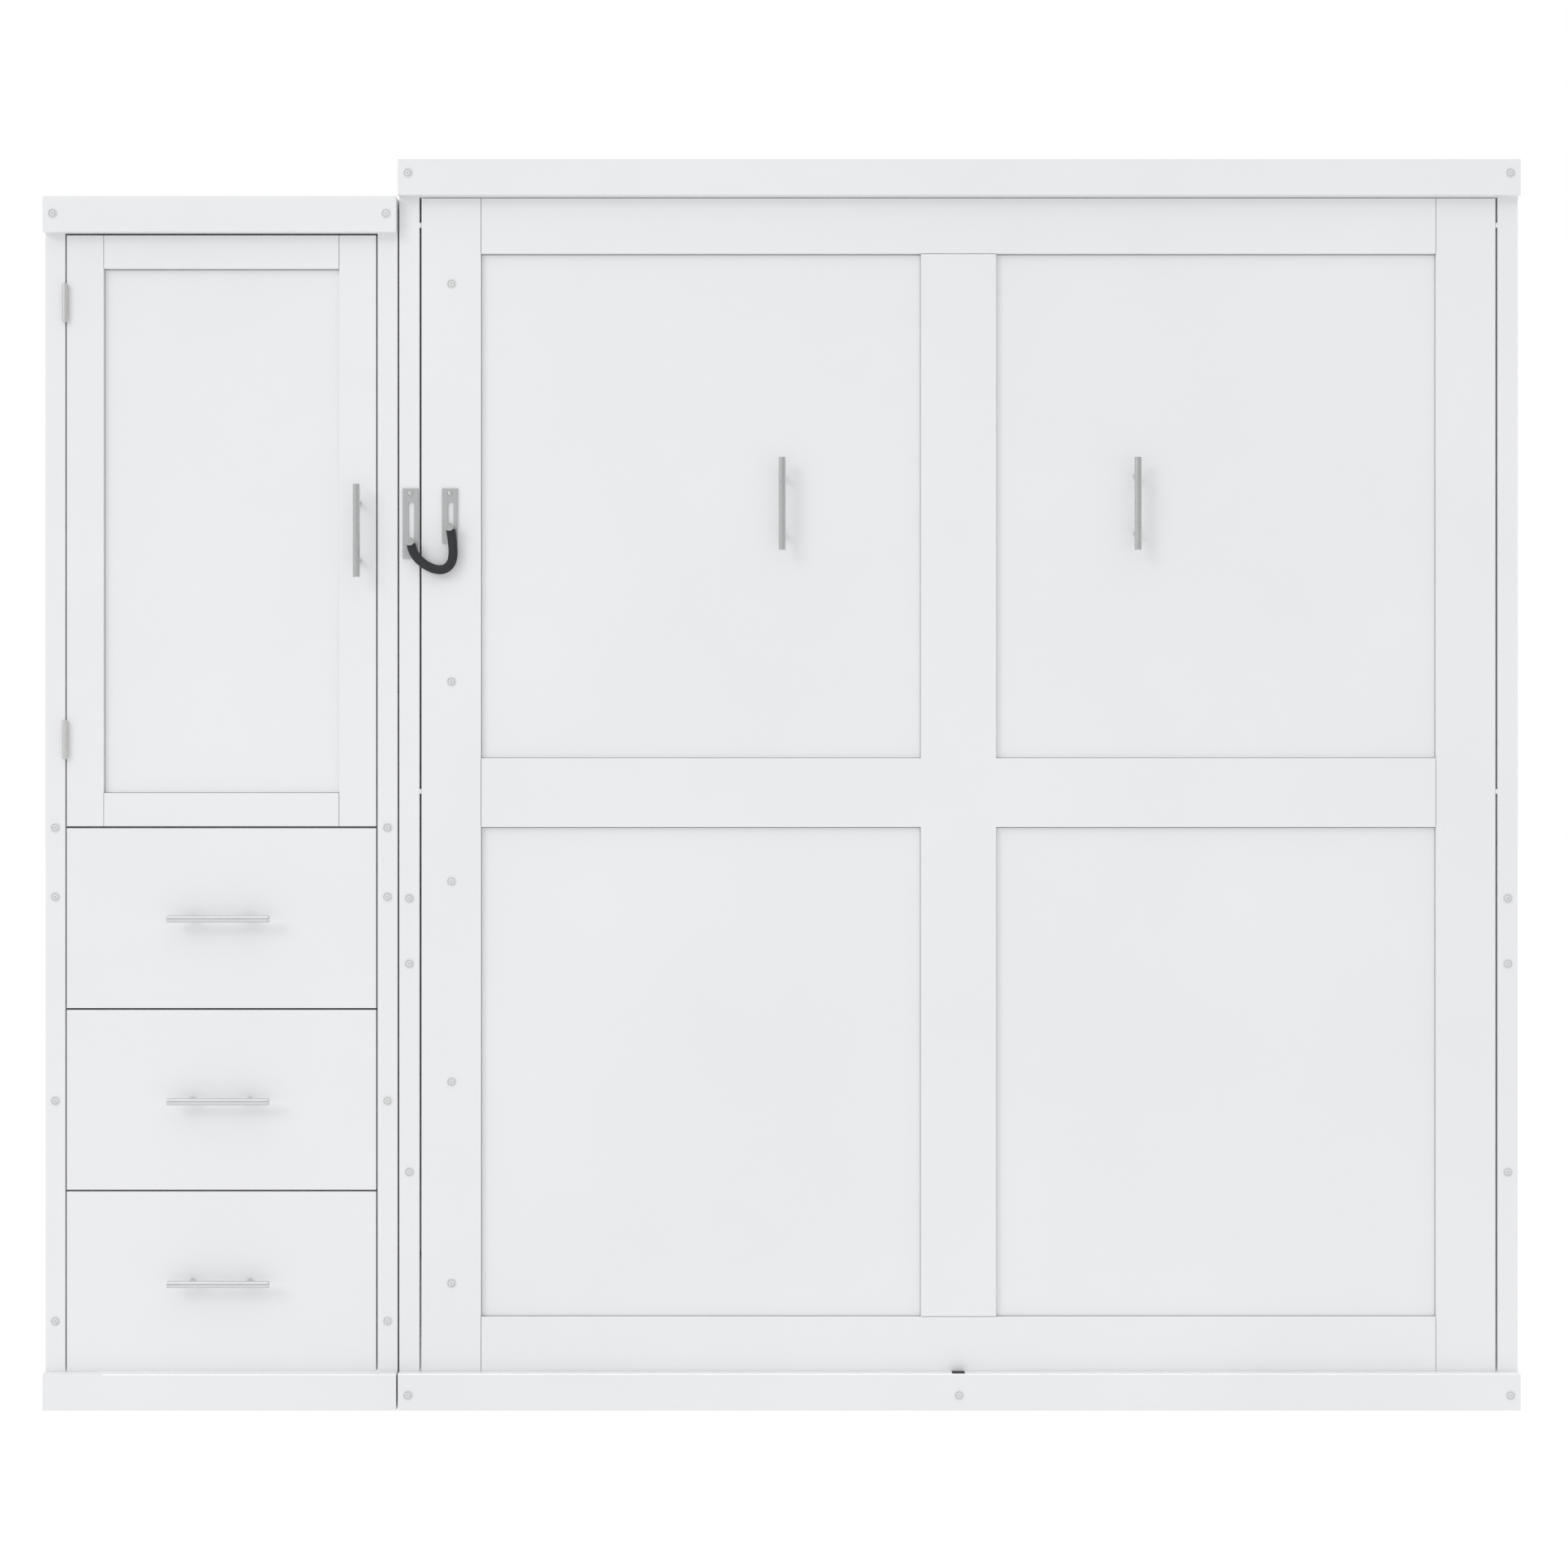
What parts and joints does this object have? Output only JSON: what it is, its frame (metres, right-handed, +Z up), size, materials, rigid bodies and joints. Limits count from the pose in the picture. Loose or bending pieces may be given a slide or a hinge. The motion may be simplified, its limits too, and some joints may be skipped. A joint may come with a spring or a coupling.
{
  "type": "murphy wall bed with wardrobe tower",
  "caption": "White wall bed whose framed front folds down on gas struts, beside a narrow tower with a door over drawers.",
  "frame": {"origin": "centre of the box round the closed unit, on the floor", "axes": "+X along the wall to the right as seen from the room, +Y towards the wall, +Z up; the front faces -Y"},
  "size_m": [2.48, 0.514, 2.1],
  "materials": {
    "white_board": "satin",
    "satin_nickel": "satin",
    "steel": "satin",
    "grey_metal": "satin",
    "mattress_fabric": "matte",
    "birch": "matte",
    "black_cord": "matte"
  },
  "bodies": {
    "cabinet": {"bed_side_left": "white_board", "bed_stile_left": "white_board", "bed_side_right": "white_board", "bed_stile_right": "white_board", "bed_top": "white_board", "bed_back": "white_board", "bed_crown": "white_board", "bed_base": "white_board", "tower_side_left": "white_board", "tower_stile_left": "white_board", "tower_side_right": "white_board", "tower_stile_right": "white_board", "tower_top": "white_board", "tower_back": "white_board", "tower_crown": "white_board", "tower_base": "white_board", "tower_divider": "white_board", "pivot_plate_left": "steel", "pivot_plate_right": "steel", "runner_rack_left": "steel", "runner_rack_right": "steel", "tether_plate_cabinet": "satin_nickel"},
    "bed": {"face_panel": "white_board", "face_stile_left": "white_board", "face_stile_right": "white_board", "face_rail_bottom": "white_board", "face_rail_top": "white_board", "face_cross": "white_board", "bed_handle_left": "satin_nickel", "bed_handle_right": "satin_nickel", "bed_rail_left": "grey_metal", "bed_rail_right": "grey_metal", "slat_deck": "birch", "mattress": "mattress_fabric", "tether_plate_bed": "satin_nickel"},
    "leg": {"foot_leg": "grey_metal"},
    "strut_left": {"strut_cylinder_left": "grey_metal"},
    "rod_left": {"strut_rod_left": "satin_nickel"},
    "strut_right": {"strut_cylinder_right": "grey_metal"},
    "rod_right": {"strut_rod_right": "satin_nickel"},
    "tether": {"tether_cord": "black_cord", "tether_stud_cabinet": "satin_nickel", "tether_stud_bed": "satin_nickel"},
    "door": {"door_panel": "white_board", "door_stile_left": "white_board", "door_stile_right": "white_board", "door_rail_bottom": "white_board", "door_rail_top": "white_board", "door_handle": "satin_nickel", "door_hinge_top": "satin_nickel", "door_hinge_bottom": "satin_nickel"},
    "drawer_bottom": {"drawer_bottom_front": "white_board", "drawer_bottom_box": "birch", "drawer_bottom_handle": "satin_nickel"},
    "drawer_middle": {"drawer_middle_front": "white_board", "drawer_middle_box": "birch", "drawer_middle_handle": "satin_nickel"},
    "drawer_top": {"drawer_top_front": "white_board", "drawer_top_box": "birch", "drawer_top_handle": "satin_nickel"}
  },
  "joints": [
    {"name": "bed_fold", "type": "hinge", "parent": "cabinet", "child": "bed", "pos_m": [0.298, -0.108, 0.235], "axis": [1, 0, 0], "range_deg": [0, 90]},
    {"name": "foot_leg_fold", "type": "hinge", "parent": "bed", "child": "leg", "pos_m": [0.298, -0.173, 2], "axis": [1, 0, 0], "range_deg": [0, 180]},
    {"name": "strut_left_swing", "type": "hinge", "parent": "cabinet", "child": "strut_left", "pos_m": [-0.5805, -0.073, 0.83], "axis": [1, 0, 0], "range_deg": [0, 2.91]},
    {"name": "rod_left_slide", "type": "slide", "parent": "strut_left", "child": "rod_left", "axis": [0, -0.0038, 1], "range_m": [0, 0.10215]},
    {"name": "strut_right_swing", "type": "hinge", "parent": "cabinet", "child": "strut_right", "pos_m": [1.1765, -0.073, 0.83], "axis": [1, 0, 0], "range_deg": [0, 2.91]},
    {"name": "rod_right_slide", "type": "slide", "parent": "strut_right", "child": "rod_right", "axis": [0, -0.0038, 1], "range_m": [0, 0.10215]},
    {"name": "tether_slide", "type": "slide", "parent": "bed", "child": "tether", "axis": [0, 0, 1], "range_m": [0, 0.038]},
    {"name": "door_swing", "type": "hinge", "parent": "cabinet", "child": "door", "pos_m": [-1.2056, -0.228, 1.4935], "axis": [0, 0, -1], "range_deg": [0, 110]},
    {"name": "drawer_bottom_slide", "type": "slide", "parent": "cabinet", "child": "drawer_bottom", "axis": [0, -1, 0], "range_m": [0, 0.34]},
    {"name": "drawer_middle_slide", "type": "slide", "parent": "cabinet", "child": "drawer_middle", "axis": [0, -1, 0], "range_m": [0, 0.34]},
    {"name": "drawer_top_slide", "type": "slide", "parent": "cabinet", "child": "drawer_top", "axis": [0, -1, 0], "range_m": [0, 0.34]}
  ],
  "couplings": [
    {"joint": "foot_leg_fold", "follows": "bed_fold", "ratio": 2},
    {"joint": "strut_left_swing", "follows": "bed_fold", "ratio": 0.031758},
    {"joint": "rod_left_slide", "follows": "bed_fold", "m_per_rad": 0.064714},
    {"joint": "strut_right_swing", "follows": "bed_fold", "ratio": 0.031758},
    {"joint": "rod_right_slide", "follows": "bed_fold", "m_per_rad": 0.064714}
  ]
}
